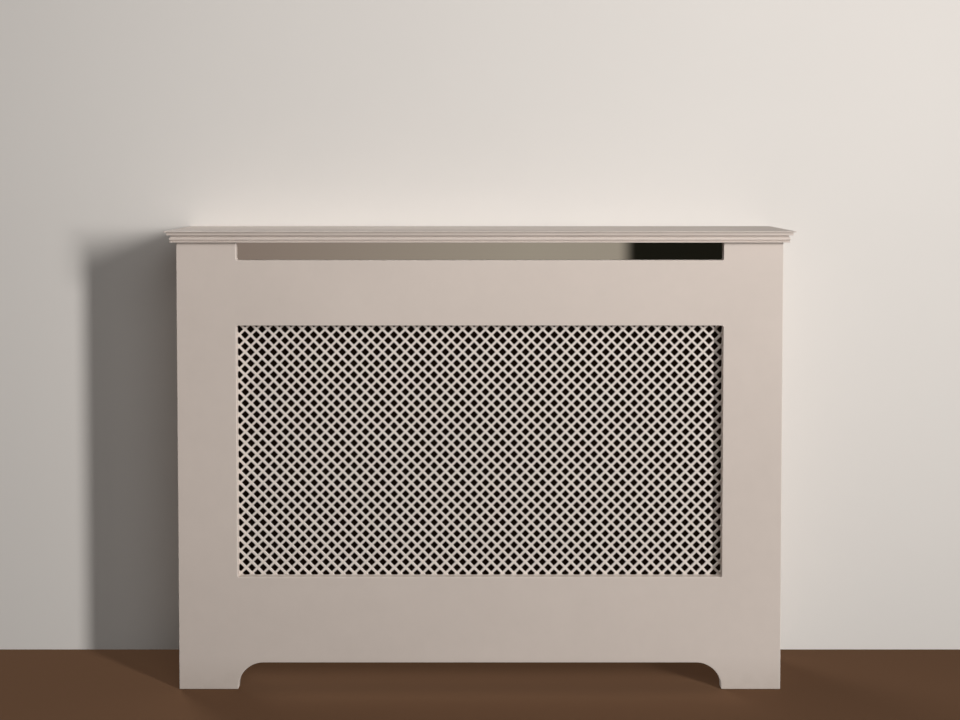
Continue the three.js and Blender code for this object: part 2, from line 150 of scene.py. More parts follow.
def makePaintGroup():
    # sprayed board paint: cloudy tone, fine orange peel, arrises painted lighter as rubbed paint and painted
    # highlight, and a foot that is darker towards the floor
    tree, given, result = startGroup("sprayedPaint", [
        ("Paint", "NodeSocketColor", (0.6, 0.5, 0.45, 1)),
        ("Rubbed And Highlit", "NodeSocketColor", (0.7, 0.6, 0.55, 1)),
        ("Gloss Spread", "NodeSocketFloat", 0.06),
        ("Peel Scale", "NodeSocketFloat", 900.0),
    ], [("Color", "NodeSocketColor"), ("Roughness", "NodeSocketFloat"), ("Height", "NodeSocketFloat")])
    place = addNode(tree, "ShaderNodeTexCoord").outputs["Object"]
    cloud = addNoise(tree, place, 3.1, 3.0, Roughness=0.55)
    mottle = addNoise(tree, place, 46.0, 3.0, Roughness=0.6)
    peel = addNoise(tree, place, given["Peel Scale"], 2.0)
    tone = addRange(tree, cloud, (0.3, 0.7), (0.965, 1.03))
    fleck = addRange(tree, mottle, (0.3, 0.7), (0.988, 1.01))
    toned = addNode(tree, "ShaderNodeVectorMath", {
        0: given["Paint"], "Scale": addMath(tree, "MULTIPLY", tone, fleck)}, operation="SCALE").outputs[0]
    # arrises take the lighter colour: partly rubbed paint, partly a painted highlight where a rounded edge
    # catches the light
    arris = addNode(tree, "ShaderNodeAttribute", attribute_name="arris").outputs["Fac"]
    wornAndHighlit = addTint(tree, addMath(tree, "MULTIPLY", arris, mottle), toned, given["Rubbed And Highlit"])
    # darker in blotches towards the floor
    height = addNode(tree, "ShaderNodeSeparateXYZ", {"Vector": place}).outputs["Z"]
    low = addRange(tree, height, (0.0, 0.06), (0.5, 0.0))
    darkerLow = addTint(tree, addMath(tree, "MULTIPLY", low, mottle), wornAndHighlit, (0.33, 0.27, 0.22))
    spread = addMath(tree, "MULTIPLY", mottle, given["Gloss Spread"])
    rough = addMath(tree, "ADD", spread, 0.58)
    tree.links.new(darkerLow, result["Color"])
    tree.links.new(rough, result["Roughness"])
    tree.links.new(peel, result["Height"])
    return tree


def makePaint(name, group, finish):
    # satin paint over board; the group gives its tone, gloss and orange peel
    material, tree, output = startMaterial(name)
    coat = addNode(tree, "ShaderNodeGroup", {
        "Paint": (*finish["paint"], 1), "Rubbed And Highlit": (*finish["rubbedAndHighlit"], 1),
        "Gloss Spread": finish["glossSpread"], "Peel Scale": finish["peelScale"]}, node_tree=group).outputs
    shader = addNode(tree, "ShaderNodeBsdfPrincipled", {
        "Base Color": coat["Color"], "Roughness": coat["Roughness"], "Specular IOR Level": 0.4,
        "Normal": addBump(tree, coat["Height"], finish["peelStrength"], 0.00005)})
    tree.links.new(shader.outputs[0], output.inputs["Surface"])
    return material


def makeMetal(name, finish):
    # plated or cast fittings: blotchy tone and gloss over a fine grit
    material, tree, output = startMaterial(name)
    place = addNode(tree, "ShaderNodeTexCoord").outputs["Object"]
    blotch = addNoise(tree, place, 160.0, 4.0)
    grit = addNoise(tree, place, finish["grit"], 3.0)
    shader = addNode(tree, "ShaderNodeBsdfPrincipled", {
        "Base Color": addTint(tree, blotch, finish["dark"], finish["light"]),
        "Roughness": addRange(tree, blotch, (0.3, 0.7), finish["roughness"]),
        "Metallic": 1.0, "Normal": addBump(tree, grit, 0.35, 0.00004)})
    tree.links.new(shader.outputs[0], output.inputs["Surface"])
    return material


def makeBeech(name, finish):
    # bare beech: short dark rays over a warm ground
    material, tree, output = startMaterial(name)
    place = addNode(tree, "ShaderNodeTexCoord").outputs["Object"]
    grain = addNoise(tree, place, 420.0, 4.0, Distortion=0.4)
    ground = addNoise(tree, place, 60.0, 2.0)
    rays = addRange(tree, grain, (0.42, 0.62))
    shader = addNode(tree, "ShaderNodeBsdfPrincipled", {
        "Base Color": addTint(tree, rays, finish["dark"], finish["light"]),
        "Roughness": addRange(tree, ground, (0.0, 1.0), (0.6, 0.8)),
        "Normal": addBump(tree, grain, 0.4, 0.0001)})
    tree.links.new(shader.outputs[0], output.inputs["Surface"])
    return material


paintGroup = makePaintGroup()
boardPaint = makePaint("boardPaint", paintGroup, {
    "paint": (0.590, 0.512, 0.460), "rubbedAndHighlit": (0.68, 0.61, 0.56), "glossSpread": 0.10,
    "peelScale": 950.0, "peelStrength": 0.5})
latticePaint = makePaint("latticePaint", paintGroup, {
    "paint": (0.690, 0.616, 0.562), "rubbedAndHighlit": (0.74, 0.67, 0.62), "glossSpread": 0.16,
    "peelScale": 1300.0, "peelStrength": 0.7})
zincCast = makeMetal("zincCast", {
    "dark": (0.30, 0.31, 0.32), "light": (0.44, 0.45, 0.46), "roughness": (0.42, 0.6), "grit": 2600.0})
platedSteel = makeMetal("platedSteel", {
    "dark": (0.50, 0.51, 0.50), "light": (0.62, 0.62, 0.60), "roughness": (0.34, 0.52), "grit": 1800.0})
bareBeech = makeBeech("bareBeech", {"dark": (0.40, 0.23, 0.10), "light": (0.63, 0.43, 0.24)})
print("materials made")


supportGap = 0.0005      # flat strip beside each rounded arris, which keeps its shading to itself
mergeDistance = 1e-6     # points nearer than this are one
cutDistance = 1e-7       # finest step of the flats' filling and of the strips' cuts
grilleScrewCount = 10
bracketScrewCount = 4


def roundedOutline(corners, radii, segments):
    # closed outline of square corners, each a quarter circle:
    # centre = corner - in*r + out*r, point = centre + r*(in*sin(t) - out*cos(t)), t from 0 to 90 degrees
    corners = np.asarray(corners, float)
    radii = np.broadcast_to(np.asarray(radii, float), len(corners))[:, None]
    incoming = corners - np.roll(corners, 1, axis=0)
    incoming /= np.linalg.norm(incoming, axis=1)[:, None]
    outgoing = np.roll(incoming, -1, axis=0)
    turn = np.linspace(0, math.pi / 2, segments + 1)[None, :, None]
    centre = corners + (outgoing - incoming) * radii
    arc = centre[:, None] + radii[:, None] * (
        incoming[:, None] * np.sin(turn) - outgoing[:, None] * np.cos(turn))
    before = arc[:, :1] - incoming[:, None] * supportGap
    after = arc[:, -1:] + outgoing[:, None] * supportGap
    return np.concatenate([before, arc, after], axis=1).reshape(-1, 2)


def circleOutline(centre, radius, segments):
    # a circle, anticlockwise
    turn = np.linspace(0, 2 * math.pi, segments, endpoint=False)
    return np.stack([centre[0] + radius * np.cos(turn), centre[1] + radius * np.sin(turn)], axis=1)


def insetOutline(outline, inset):
    # every point moves in by the inset along its mitre: (n1 + n2) / (1 + n1.n2) of the two edge normals
    edge = np.roll(outline, -1, axis=0) - outline
    edge /= np.linalg.norm(edge, axis=1)[:, None]
    normalAfter = np.stack([-edge[:, 1], edge[:, 0]], axis=1)
    normalBefore = np.roll(normalAfter, 1, axis=0)
    mitre = normalBefore + normalAfter
    mitre /= (1 + np.sum(normalBefore * normalAfter, axis=1))[:, None]
    return outline + mitre * inset


def arrisProfile(thickness, radius, segments=3):
    # (inset, depth, arris) down the edge of a board: flat, quarter round, edge, quarter round, flat
    turn = np.linspace(0, math.pi / 2, segments + 1)
    front = np.stack([radius * (1 - np.sin(turn)), radius * (1 - np.cos(turn)), np.ones_like(turn)], axis=1)
    back = front[::-1] * (1, -1, 1) + (0, thickness, 0)
    start = [[radius + supportGap, 0, 0]]
    middle = [[0, radius + supportGap, 0], [0, thickness - radius - supportGap, 0]]
    return np.concatenate([start, front, middle, back, [[radius + supportGap, thickness, 0]]])


def gridFaces(rows, columns, start=0):
    # the quads between neighbouring closed rings of a grid
    row = np.arange(rows - 1)[:, None]
    column = np.arange(columns)[None, :]
    following = (column + 1) % columns
    corners = [row * columns + column, row * columns + following,
               (row + 1) * columns + following, (row + 1) * columns + column]
    return np.stack(corners, axis=-1).reshape(-1, 4) + start


class Surface:
    # gathers grids of points until they become one mesh
    def __init__(self):
        self.points, self.faces, self.arris, self.count = [], [], [], 0

    def addGrid(self, grid, arris=None):
        rows, columns = grid.shape[:2]
        self.faces.extend(gridFaces(rows, columns, self.count).tolist())
        self.points.append(grid.reshape(-1, 3))
        # the arris share of each row, which the paint turns lighter as rubbed paint and painted highlight
        wearAndHighlight = np.zeros(rows) if arris is None else np.asarray(arris, float)
        self.arris.append(np.repeat(wearAndHighlight, columns))
        self.count += rows * columns

    def addCap(self, ring):
        # one flat face over a ring of points
        self.faces.append(list(range(self.count, self.count + len(ring))))
        self.points.append(np.asarray(ring, float))
        self.arris.append(np.zeros(len(ring)))
        self.count += len(ring)

    def toMesh(self, name):
        data = bpy.data.meshes.new(name)
        data.from_pydata(np.concatenate(self.points).tolist(), [], self.faces)
        data.attributes.new("arris", "FLOAT", "POINT").data.foreach_set("value", np.concatenate(self.arris))
        return data


def edgeBand(outline, profile, lay):
    # the profile carried round the outline: point(s, t) = lay(outline(s) inset by profile(t), depth(t))
    rings = [lay(insetOutline(outline, inset), depth) for inset, depth, _ in profile]
    return np.stack(rings)


def layFacingFront(faceY):
    # puts an outline drawn in X and Z at a depth behind the plane at faceY
    def lay(flat, depth):
        return np.stack([flat[:, 0], np.full(len(flat), faceY + depth), flat[:, 1]], axis=1)
    return lay


def insideLoops(spots, starts, ends):
    # even-odd rule: a spot is inside where a ray to the right crosses an odd number of the loops' edges
    x, y = spots[:, :1], spots[:, 1:]
    crossing = (starts[:, 1] > y) != (ends[:, 1] > y)
    rise = np.where(starts[:, 1] == ends[:, 1], 1.0, ends[:, 1] - starts[:, 1])
    meeting = starts[:, 0] + (y - starts[:, 1]) / rise * (ends[:, 0] - starts[:, 0])
    return np.sum(crossing & (meeting > x), axis=1) % 2 == 1


def fillFlat(mesh, axis, values):
    # fills the open loops that lie in each given plane with triangles, and leaves their holes open
    kept = [i for i in range(3) if i != axis]
    for value in values:
        edges = [e for e in mesh.edges if e.is_boundary
                 and all(abs(v.co[axis] - value) < mergeDistance for v in e.verts)]
        verts = list({v for e in edges for v in e.verts})
        number = {v: i for i, v in enumerate(verts)}
        flat = np.array([v.co for v in verts])[:, kept]
        pairs = [(number[e.verts[0]], number[e.verts[1]]) for e in edges]
        filled, sources = delaunay_2d_cdt([Vector(p) for p in flat], pairs, [], 0, cutDistance)[2:4]
        origin = np.array([source[0] for source in sources])
        triangles = origin[np.array(filled)]
        paired = np.array(pairs)
        inside = insideLoops(flat[triangles].mean(axis=1), flat[paired[:, 0]], flat[paired[:, 1]])
        for triangle in triangles[inside]:
            mesh.faces.new([verts[i] for i in triangle])


def finishPiece(name, surface, material, body, replaced=(), fills=(), smooth=True):
    # merges the grids and fills the flats, then hands the piece over
    data = surface.toMesh(name)
    mesh = bmesh.new()
    mesh.from_mesh(data)
    bmesh.ops.remove_doubles(mesh, verts=mesh.verts, dist=mergeDistance)
    for axis, values in fills:
        fillFlat(mesh, axis, values)
    mesh.to_mesh(data)
    mesh.free()
    return finishMesh(name, data, material, body, replaced, smooth)


def finishMesh(name, data, material, body, replaced, smooth):
    # turns every face outwards, gives the piece its material and body, and retires the plain solids
    mesh = bmesh.new()
    mesh.from_mesh(data)
    bmesh.ops.recalc_face_normals(mesh, faces=mesh.faces)
    openEdges = sum(1 for edge in mesh.edges if len(edge.link_faces) != 2)
    if mesh.calc_volume(signed=True) < 0:
        bmesh.ops.reverse_faces(mesh, faces=mesh.faces)
    mesh.to_mesh(data)
    mesh.free()
    data.name = name
    data.polygons.foreach_set("use_smooth", np.full(len(data.polygons), smooth))
    data.materials.append(material)
    piece = bpy.data.objects.new(name, data)
    scene.collection.objects.link(piece)
    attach(piece, body)
    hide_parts(*replaced)
    print("made", name, len(data.polygons), "faces,", openEdges, "open edges")
    return piece


frontLow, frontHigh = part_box("front_panel")
shelfLow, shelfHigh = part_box("top_shelf")

frontBoard = {
    "windowHalf": 0.4315, "windowSill": 0.202, "windowTop": 0.652, "windowCorner": 0.003,
    "slotFloor": 0.768, "slotCorner": 0.0035, "archHeight": 0.048, "arris": 0.0009, "cornerRadius": 0.0016,
    "cornerSegments": 16,
}


def makeFrontBoard(size):
    # outline with feet, arch and slot, and the window as a second outline run the other way
    half, windowHalf, top = frontHigh.x, size["windowHalf"], frontHigh.z
    arch, slot, small = size["archHeight"], size["slotFloor"], size["cornerRadius"]
    corners = [
        (-half, 0), (-windowHalf, 0), (-windowHalf, arch), (windowHalf, arch), (windowHalf, 0), (half, 0),
        (half, top), (windowHalf, top), (windowHalf, slot), (-windowHalf, slot), (-windowHalf, top),
        (-half, top)]
    archRadius = arch - small - 3 * supportGap
    radii = [small, small, archRadius, archRadius, small, small,
             small, small, size["slotCorner"], size["slotCorner"], small, small]
    outline = roundedOutline(corners, radii, size["cornerSegments"])
    window = roundedOutline([
        (-windowHalf, size["windowSill"]), (-windowHalf, size["windowTop"]),
        (windowHalf, size["windowTop"]), (windowHalf, size["windowSill"])],
        size["windowCorner"], size["cornerSegments"])
    profile = arrisProfile(frontHigh.y - frontLow.y, size["arris"])
    surface = Surface()
    for loop in (outline, window):
        surface.addGrid(edgeBand(loop, profile, layFacingFront(frontLow.y)), profile[:, 2])
    return finishPiece("front_board", surface, boardPaint, "cabinet",
                       ["front_panel"], [(1, (frontLow.y, frontHigh.y))])


sideBoard = {"notchDepth": 0.020, "notchHeight": 0.130, "arris": 0.0009, "cornerRadius": 0.0016,
             "cornerSegments": 6, "camBore": 0.0078, "camDepth": 0.0123, "camEase": 0.0002, "camSegments": 48}


def makeSideBoard(side, size):
    # outline in depth and height with the skirting notch, and a round bore for each cam in its inner face
    low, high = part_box(f"{side}_side_panel")
    outward = -1 if side == "left" else 1
    innerX = high.x if side == "left" else low.x
    thickness = high.x - low.x
    notchY, notchZ = high.y - size["notchDepth"], size["notchHeight"]
    outline = roundedOutline([
        (low.y, 0), (notchY, 0), (notchY, notchZ), (high.y, notchZ), (high.y, high.z), (low.y, high.z)],
        size["cornerRadius"], size["cornerSegments"])
    profile = arrisProfile(thickness, size["arris"])

    def lay(flat, depth):
        return np.stack([np.full(len(flat), innerX + outward * depth), flat[:, 0], flat[:, 1]], axis=1)

    surface = Surface()
    surface.addGrid(edgeBand(outline, profile, lay), profile[:, 2])
    ease = size["camEase"]
    steps = ((supportGap, 0), (ease, 0), (0, ease), (0, ease + supportGap), (0, size["camDepth"]))
    for level in ("low", "high", "top"):
        camLow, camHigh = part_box(f"cam_{side}_{level}")
        centre = ((camLow.y + camHigh.y) / 2, (camLow.z + camHigh.z) / 2)
        rings = [lay(circleOutline(centre, size["camBore"] + wider, size["camSegments"]), depth)
                 for wider, depth in steps]
        surface.addGrid(np.stack(rings))
        surface.addCap(rings[-1])
    return finishPiece(f"{side}_side_board", surface, boardPaint, "cabinet",
                       [f"{side}_side_panel"], [(0, (innerX, innerX + outward * thickness))])


shelf = {
    "lipHeight": 0.0018, "filletOut": 0.0136, "coveOut": 0.0140, "filletHeight": 0.0054, "quirkOut": 0.0076,
    "beadOut": 0.0100, "beadRadius": 0.0041, "baseOut": 0.0096, "baseHeight": 0.0022,
    "beadPoints": 15, "lipRound": 0.0006, "crispRound": 0.00035, "cornerRadius": 0.0008,
    "cornerSegments": 4, "wearAndHighlightStep": 0.0004,
}


def softenedPath(points, radius, segments=3):
    # rounds each inner corner of an open path: (1-t)^2 a + 2t(1-t) corner + t^2 b, with a and b a radius away
    points = np.asarray(points, float)
    before, corner, after = points[:-2], points[1:-1], points[2:]
    toBefore = (before - corner) / np.linalg.norm(before - corner, axis=1)[:, None]
    toAfter = (after - corner) / np.linalg.norm(after - corner, axis=1)[:, None]
    turn = np.linspace(0, 1, segments + 1)[None, :, None]
    start, end = (corner + toBefore * radius)[:, None], (corner + toAfter * radius)[:, None]
    curve = (1 - turn) ** 2 * start + 2 * turn * (1 - turn) * corner[:, None] + turn ** 2 * end
    return np.concatenate([points[:1], curve.reshape(-1, 2), points[-1:]])


def mouldingProfile(size):
    # (out from the body, height) from the top's flat to the underside: lip, fillet, quirk, bead and base
    top, bottom = shelfHigh.z, shelfLow.z
    lipOut = shelfHigh.x - frontHigh.x
    filletTop = top - size["lipHeight"]
    filletBase = filletTop - size["filletHeight"]
    baseTop = bottom + size["baseHeight"]
    beadX, beadZ = size["beadOut"] - size["beadRadius"], baseTop + size["beadRadius"]
    beadStart = math.acos((size["quirkOut"] - beadX) / size["beadRadius"])
    turn = np.linspace(beadStart, -math.pi / 2, size["beadPoints"])
    bead = np.stack([beadX + size["beadRadius"] * np.cos(turn),
                     beadZ + size["beadRadius"] * np.sin(turn)], axis=1)
    flat = lipOut - size["lipRound"] - supportGap
    upper = softenedPath([
        (flat, top), (lipOut, top), (lipOut, filletTop), (size["filletOut"], filletTop),
        (size["coveOut"], filletBase), (size["quirkOut"], filletBase), bead[0]], size["crispRound"])
    lower = softenedPath([
        bead[-1], (size["baseOut"], baseTop), (size["baseOut"], bottom),
        (size["baseOut"] - size["crispRound"] - supportGap, bottom)], size["crispRound"])
    return np.concatenate([upper[:-1], bead, lower[1:]])


def makeShelf(size):
    # each ring of the moulding runs round the plan; front points move out both ways and so mitre the
    # corners; the paint is lighter where the moulding's points stand close together, at its arrises, as
    # rubbed paint and a painted highlight
    halfX, backY = frontHigh.x, shelfHigh.y
    corners = [(-halfX, frontLow.y), (halfX, frontLow.y), (halfX, backY), (-halfX, backY)]
    plan = roundedOutline(corners, size["cornerRadius"], size["cornerSegments"])
    outX = np.sign(plan[:, 0])
    outY = np.where(plan[:, 1] < 0, -1.0, 0.0)
    profile = mouldingProfile(size)
    rings = [np.stack([plan[:, 0] + outX * out, plan[:, 1] + outY * out, np.full(len(plan), height)], axis=1)
             for out, height in profile]
    # arrises get the lighter paint: rubbed paint and a painted highlight
    step = np.abs(np.gradient(profile[:, 0])) + np.abs(np.gradient(profile[:, 1]))
    arris = np.clip(1 - step / size["wearAndHighlightStep"], 0, 1)
    surface = Surface()
    surface.addGrid(np.stack(rings), arris)
    return finishPiece("moulded_shelf", surface, boardPaint, "cabinet",
                       ["top_shelf"], [(2, (shelfHigh.z, shelfLow.z))])


lattice = {"across": 42, "up": 22, "pitch": 0.02046, "hole": 0.0150, "ease": 0.00045, "lift": 0.0017,
           "wearAndHighlight": 0.6, "rimRadius": 0.0016, "rimSegments": 4, "rimArris": 0.0005,
           "screwHole": 0.00205, "screwSegments": 16}


def latticeCentres(size):
    # rows half a pitch apart, every second row moved half a pitch along
    middleZ = (frontBoard["windowSill"] + frontBoard["windowTop"]) / 2 + size["lift"]
    row = np.arange(2 * size["up"] + 1)
    even = np.stack(np.meshgrid(
        (np.arange(size["across"]) - (size["across"] - 1) / 2) * size["pitch"], row[::2]), axis=-1)
    odd = np.stack(np.meshgrid(
        (np.arange(size["across"] + 1) - size["across"] / 2) * size["pitch"], row[1::2]), axis=-1)
    centres = np.concatenate([even.reshape(-1, 2), odd.reshape(-1, 2)])
    centres[:, 1] = middleZ + (centres[:, 1] - size["up"]) * size["pitch"] / 2
    return centres


def makeLattice(size):
    # one small cell round each hole: cell edge, eased mouth, wall, eased mouth, cell edge
    low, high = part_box("grille_panel")
    thickness = high.y - low.y
    centres = latticeCentres(size)
    reach, hole, ease = size["pitch"] / 2, size["hole"] / 2, size["ease"]
    rings = np.array([(reach, 0), (hole + ease, 0), (hole, ease),
                      (hole, thickness - ease), (hole + ease, thickness), (reach, thickness)])
    corner = np.array([(1, 0), (0, 1), (-1, 0), (0, -1)], float)
    template = np.zeros((len(rings), 4, 3))
    template[:, :, 0] = rings[:, :1] * corner[None, :, 0]
    template[:, :, 1] = rings[:, 1:] + low.y
    template[:, :, 2] = rings[:, :1] * corner[None, :, 1]
    offset = np.stack([centres[:, 0], np.zeros(len(centres)), centres[:, 1]], axis=1)
    points = (template[None] + offset[:, None, None]).reshape(-1, 3)
    perCell = len(rings) * 4
    cellFaces = gridFaces(len(rings), 4)
    faces = (cellFaces[None] + (np.arange(len(centres)) * perCell)[:, None, None]).reshape(-1, 4)
    surface = Surface()
    surface.points.append(points)
    surface.faces.extend(faces.tolist())
    # the eased mouths get the lighter paint: rubbed paint and a painted highlight
    wearAndHighlight = size["wearAndHighlight"] * np.array([0, 1, 1, 1, 1, 0])
    surface.arris.append(np.tile(np.repeat(wearAndHighlight, 4), len(centres)))
    surface.count = len(points)
    lay = layFacingFront(low.y)
    rim = roundedOutline([(low.x, low.z), (high.x, low.z), (high.x, high.z), (low.x, high.z)],
                         size["rimRadius"], size["rimSegments"])
    profile = arrisProfile(thickness, size["rimArris"])
    surface.addGrid(edgeBand(rim, profile, lay), profile[:, 2])
    for number in range(1, grilleScrewCount + 1):
        screwLow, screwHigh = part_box(f"grille_screw_{number:02d}")
        centre = ((screwLow.x + screwHigh.x) / 2, (screwLow.z + screwHigh.z) / 2)
        drilled = circleOutline(centre, size["screwHole"], size["screwSegments"])
        surface.addGrid(np.stack([lay(drilled, 0), lay(drilled, thickness)]))
    return finishPiece("lattice_sheet", surface, latticePaint, "cabinet",
                       ["grille_panel"], [(1, (low.y, high.y))], smooth=False)


makeShelf(shelf)
makeFrontBoard(frontBoard)
makeSideBoard("left", sideBoard)
makeSideBoard("right", sideBoard)
makeLattice(lattice)


def localAxes(along, across):
    # rows: across, the third direction, along; local (x, y, z) times this gives the world direction
    along, across = np.array(along, float), np.array(across, float)
    return np.stack([across, np.cross(along, across), along])


def turnedGrid(radii, places, columns):
    # rings of a turned piece: (r cos a, r sin a, place), r for each ring or for each point of a ring
    turn = np.linspace(0, 2 * math.pi, columns, endpoint=False)[None, :]
    radii = np.broadcast_to(np.asarray(radii, float).reshape(len(places), -1), (len(places), columns))
    places = np.broadcast_to(np.asarray(places, float).reshape(len(places), -1), (len(places), columns))
    return np.stack([radii * np.cos(turn), radii * np.sin(turn), places], axis=2)


def threadRadii(places, columns, size):
    # helical ridge: radius = core + (crest - core) * peak, peak = 1.25 - 2 * |2 * phase - 1| held
    # between 0 and 1, phase = fraction of (place / pitch - angle / turn)
    turn = np.linspace(0, 1, columns, endpoint=False)[None, :]
    phase = np.mod(np.asarray(places)[:, None] / size["pitch"] - turn, 1)
    peak = np.clip(1.25 - np.abs(2 * phase - 1) * 2.0, 0, 1)
    return size["core"] + (size["crest"] - size["core"]) * peak


def addTurned(surface, grid, axes, origin):
    # lays a local grid in the world and closes both of its ends
    laid = grid @ axes + np.array(origin)
    surface.addGrid(laid)
    surface.addCap(laid[0])
    surface.addCap(laid[-1])


def crossDepth(x, y, size):
    # depth of a cross recess: two crossed bars, each side ramped over the soften distance
    soften = size["crossSoften"]

    def bar(u, v):
        return (np.clip((size["crossWidth"] / 2 - np.abs(u)) / soften + 0.5, 0, 1)
                * np.clip((size["crossLength"] / 2 - np.abs(v)) / soften + 0.5, 0, 1))
    return size["crossDepth"] * np.maximum(bar(x, y), bar(y, x))


screw = {"core": 0.00125, "crest": 0.00172, "pitch": 0.0012, "length": 0.013, "buried": 0.0004,
         "tip": 0.004, "tipShare": 0.04, "rings": 68, "columns": 16,
         "headRadius": 0.0034, "headHeight": 0.0022, "rim": 0.0005, "rimEase": 0.0001,
         "domeRings": 16, "domeEnd": 0.02, "headColumns": 48,
         "crossLength": 0.0038, "crossWidth": 0.0009, "crossDepth": 0.0013, "crossSoften": 0.00035}


def makeScrew(name, seat, along, size):
    # threaded shank with a drawn-out point, and a domed head with a cross recess
    axes = localAxes(along, (1, 0, 0))
    surface = Surface()
    places = np.linspace(-size["length"], size["buried"], size["rings"])
    taper = np.clip((places + size["length"]) / size["tip"], size["tipShare"], 1)[:, None]
    radii = threadRadii(places, size["columns"], size) * taper
    addTurned(surface, turnedGrid(radii, places, size["columns"]), axes, seat)
    span = np.linspace(1, size["domeEnd"], size["domeRings"])
    dome = size["rim"] + (size["headHeight"] - size["rim"]) * np.sqrt(1 - span ** 2)
    head = turnedGrid(np.concatenate([[0.3, 0.97, 1.0], span]) * size["headRadius"],
                      np.concatenate([[0, 0, size["rimEase"]], dome]), size["headColumns"])
    head[3:, :, 2] -= crossDepth(head[3:, :, 0], head[3:, :, 1], size)
    addTurned(surface, head, axes, seat)
    return finishPiece(f"{name}_turned", surface, platedSteel, "cabinet", [name])


def makeScrews(size):
    for number in range(1, grilleScrewCount + 1):
        name = f"grille_screw_{number:02d}"
        low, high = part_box(name)
        seat = ((low.x + high.x) / 2, high.y - size["headHeight"], (low.z + high.z) / 2)
        makeScrew(name, seat, (0, 1, 0), size)
    for number in range(1, bracketScrewCount + 1):
        name = f"bracket_screw_{number}"
        low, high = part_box(name)
        seat = ((low.x + high.x) / 2, (low.y + high.y) / 2, low.z + size["headHeight"])
        makeScrew(name, seat, (0, 0, -1), size)


camBolt = {"headRadius": 0.0032, "headStart": 0.0012, "headRound": 0.0011, "headEnd": 0.004,
           "neckRadius": 0.0018, "shoulder": 0.0078, "shankRadius": 0.0035, "shankEnd": 0.034,
           "ease": 0.0003, "fineEase": 0.0002, "columns": 32,
           "core": 0.0023, "crest": 0.003, "pitch": 0.0017, "buried": 0.0005, "threadEnd": 0.0445,
           "tip": 0.002, "tipShare": 0.55, "threadRings": 50, "threadColumns": 24}
cam = {"radius": 0.0075, "face": 0.0075, "height": 0.012, "cavityRadius": 0.00545, "headHalf": 0.0035,
       "neckHalf": 0.0021, "ease": 0.0004, "pole": 0.0002, "faceRings": 26, "faceEnd": 0.015,
       "faceColumns": 96, "floorColumns": 48, "sectorStep": 7.5, "seamGap": 1,
       "crossLength": 0.006, "crossWidth": 0.0014, "crossDepth": 0.002, "crossSoften": 0.0003,
       "arrowDepth": 0.0004, "arrowBase": 0.0042, "arrowTip": 0.0064, "arrowSlope": 0.6}


def makeCamBolt(name, centre, axes, size):
    # round head, neck, shouldered shank, then a coarse thread
    start, end, shoulder, shankEnd = size["headStart"], size["headEnd"], size["shoulder"], size["shankEnd"]
    head, neck, shank = size["headRadius"], size["neckRadius"], size["shankRadius"]
    ease, fine = size["ease"], size["fineEase"]
    profile = np.array([
        (head * 0.35, start), (head * 0.75, start + ease), (head, start + size["headRound"]),
        (head, end - fine), (head - fine, end), (neck + fine, end), (neck, end + fine), (neck, shoulder),
        (shank - ease, shoulder), (shank, shoulder + ease), (shank, shankEnd - ease),
        (shank - ease, shankEnd), (size["crest"] * 0.5, shankEnd)])
    surface = Surface()
    addTurned(surface, turnedGrid(profile[:, 0], profile[:, 1], size["columns"]), axes, centre)
    places = np.linspace(shankEnd - size["buried"], size["threadEnd"], size["threadRings"])
    taper = np.clip(size["tipShare"] + (size["threadEnd"] - places) / size["tip"], 0, 1)[:, None]
    radii = threadRadii(places, size["threadColumns"], size) * taper
    addTurned(surface, turnedGrid(radii, places, size["threadColumns"]), axes, centre)
    return finishPiece(f"{name}_turned", surface, platedSteel, "cabinet", [name])


def addSector(surface, size, heights, degrees, axes, origin):
    # a stretch of the cam's wall: its rectangular section swept about the cam's axis
    low, high = heights
    start, end = degrees
    turn = np.radians(np.linspace(start, end, max(2, int(abs(end - start) / size["sectorStep"]) + 1)))
    radii = np.array([size["cavityRadius"], size["radius"], size["radius"], size["cavityRadius"]])
    levels = np.array([low, low, high, high])
    grid = np.stack([radii[None] * np.cos(turn)[:, None], radii[None] * np.sin(turn)[:, None],
                     np.broadcast_to(levels, (len(turn), 4))], axis=2)
    addTurned(surface, grid, axes, origin)


def makeCam(name, body, centre, axes, size):
    # driving disc with a cross recess and a plain arrow, then the hollow wall that draws the bolt in;
    # the bolt comes in at 90 degrees, the mouth for its head is at 270, and at the neck's height
    # the wall is only on the side that the neck doesn't pass
    face, under, pole = size["face"], size["headHalf"], size["pole"]
    rings = np.linspace(1, size["faceEnd"], size["faceRings"]) * (size["radius"] - size["ease"])
    disc = turnedGrid(np.concatenate([[pole, size["radius"], size["radius"]], rings]),
                      np.concatenate([[under, under, face - size["ease"]], np.full(len(rings), face)]),
                      size["faceColumns"])
    x, y = disc[3:, :, 0], disc[3:, :, 1]
    arrow = size["arrowDepth"] * ((y > size["arrowBase"]) & (y < size["arrowTip"])
                                  & (np.abs(x) < (size["arrowTip"] - y) * size["arrowSlope"]))
    disc[3:, :, 2] -= arrow + crossDepth(x, y, size)
    surface = Surface()
    addTurned(surface, disc, axes, centre)
    mouthStart = 270 + math.degrees(math.asin(under / size["cavityRadius"]))
    mouthEnd = mouthStart - 2 * (mouthStart - 270) + 360
    slotEnd = 90 + math.degrees(math.asin(size["neckHalf"] / size["cavityRadius"]))
    sideEnd = mouthEnd - (360 + size["seamGap"])
    addSector(surface, size, (size["neckHalf"], under), (mouthStart, mouthEnd), axes, centre)
    addSector(surface, size, (-under, -size["neckHalf"]), (mouthStart, mouthEnd), axes, centre)
    addSector(surface, size, (-size["neckHalf"], size["neckHalf"]), (slotEnd, sideEnd), axes, centre)
    floor = turnedGrid([pole, size["radius"], size["radius"], pole],
                       [face - size["height"], face - size["height"], -under, -under], size["floorColumns"])
    addTurned(surface, floor, axes, centre)
    return finishPiece(f"{name}_cast", surface, zincCast, body, [name])


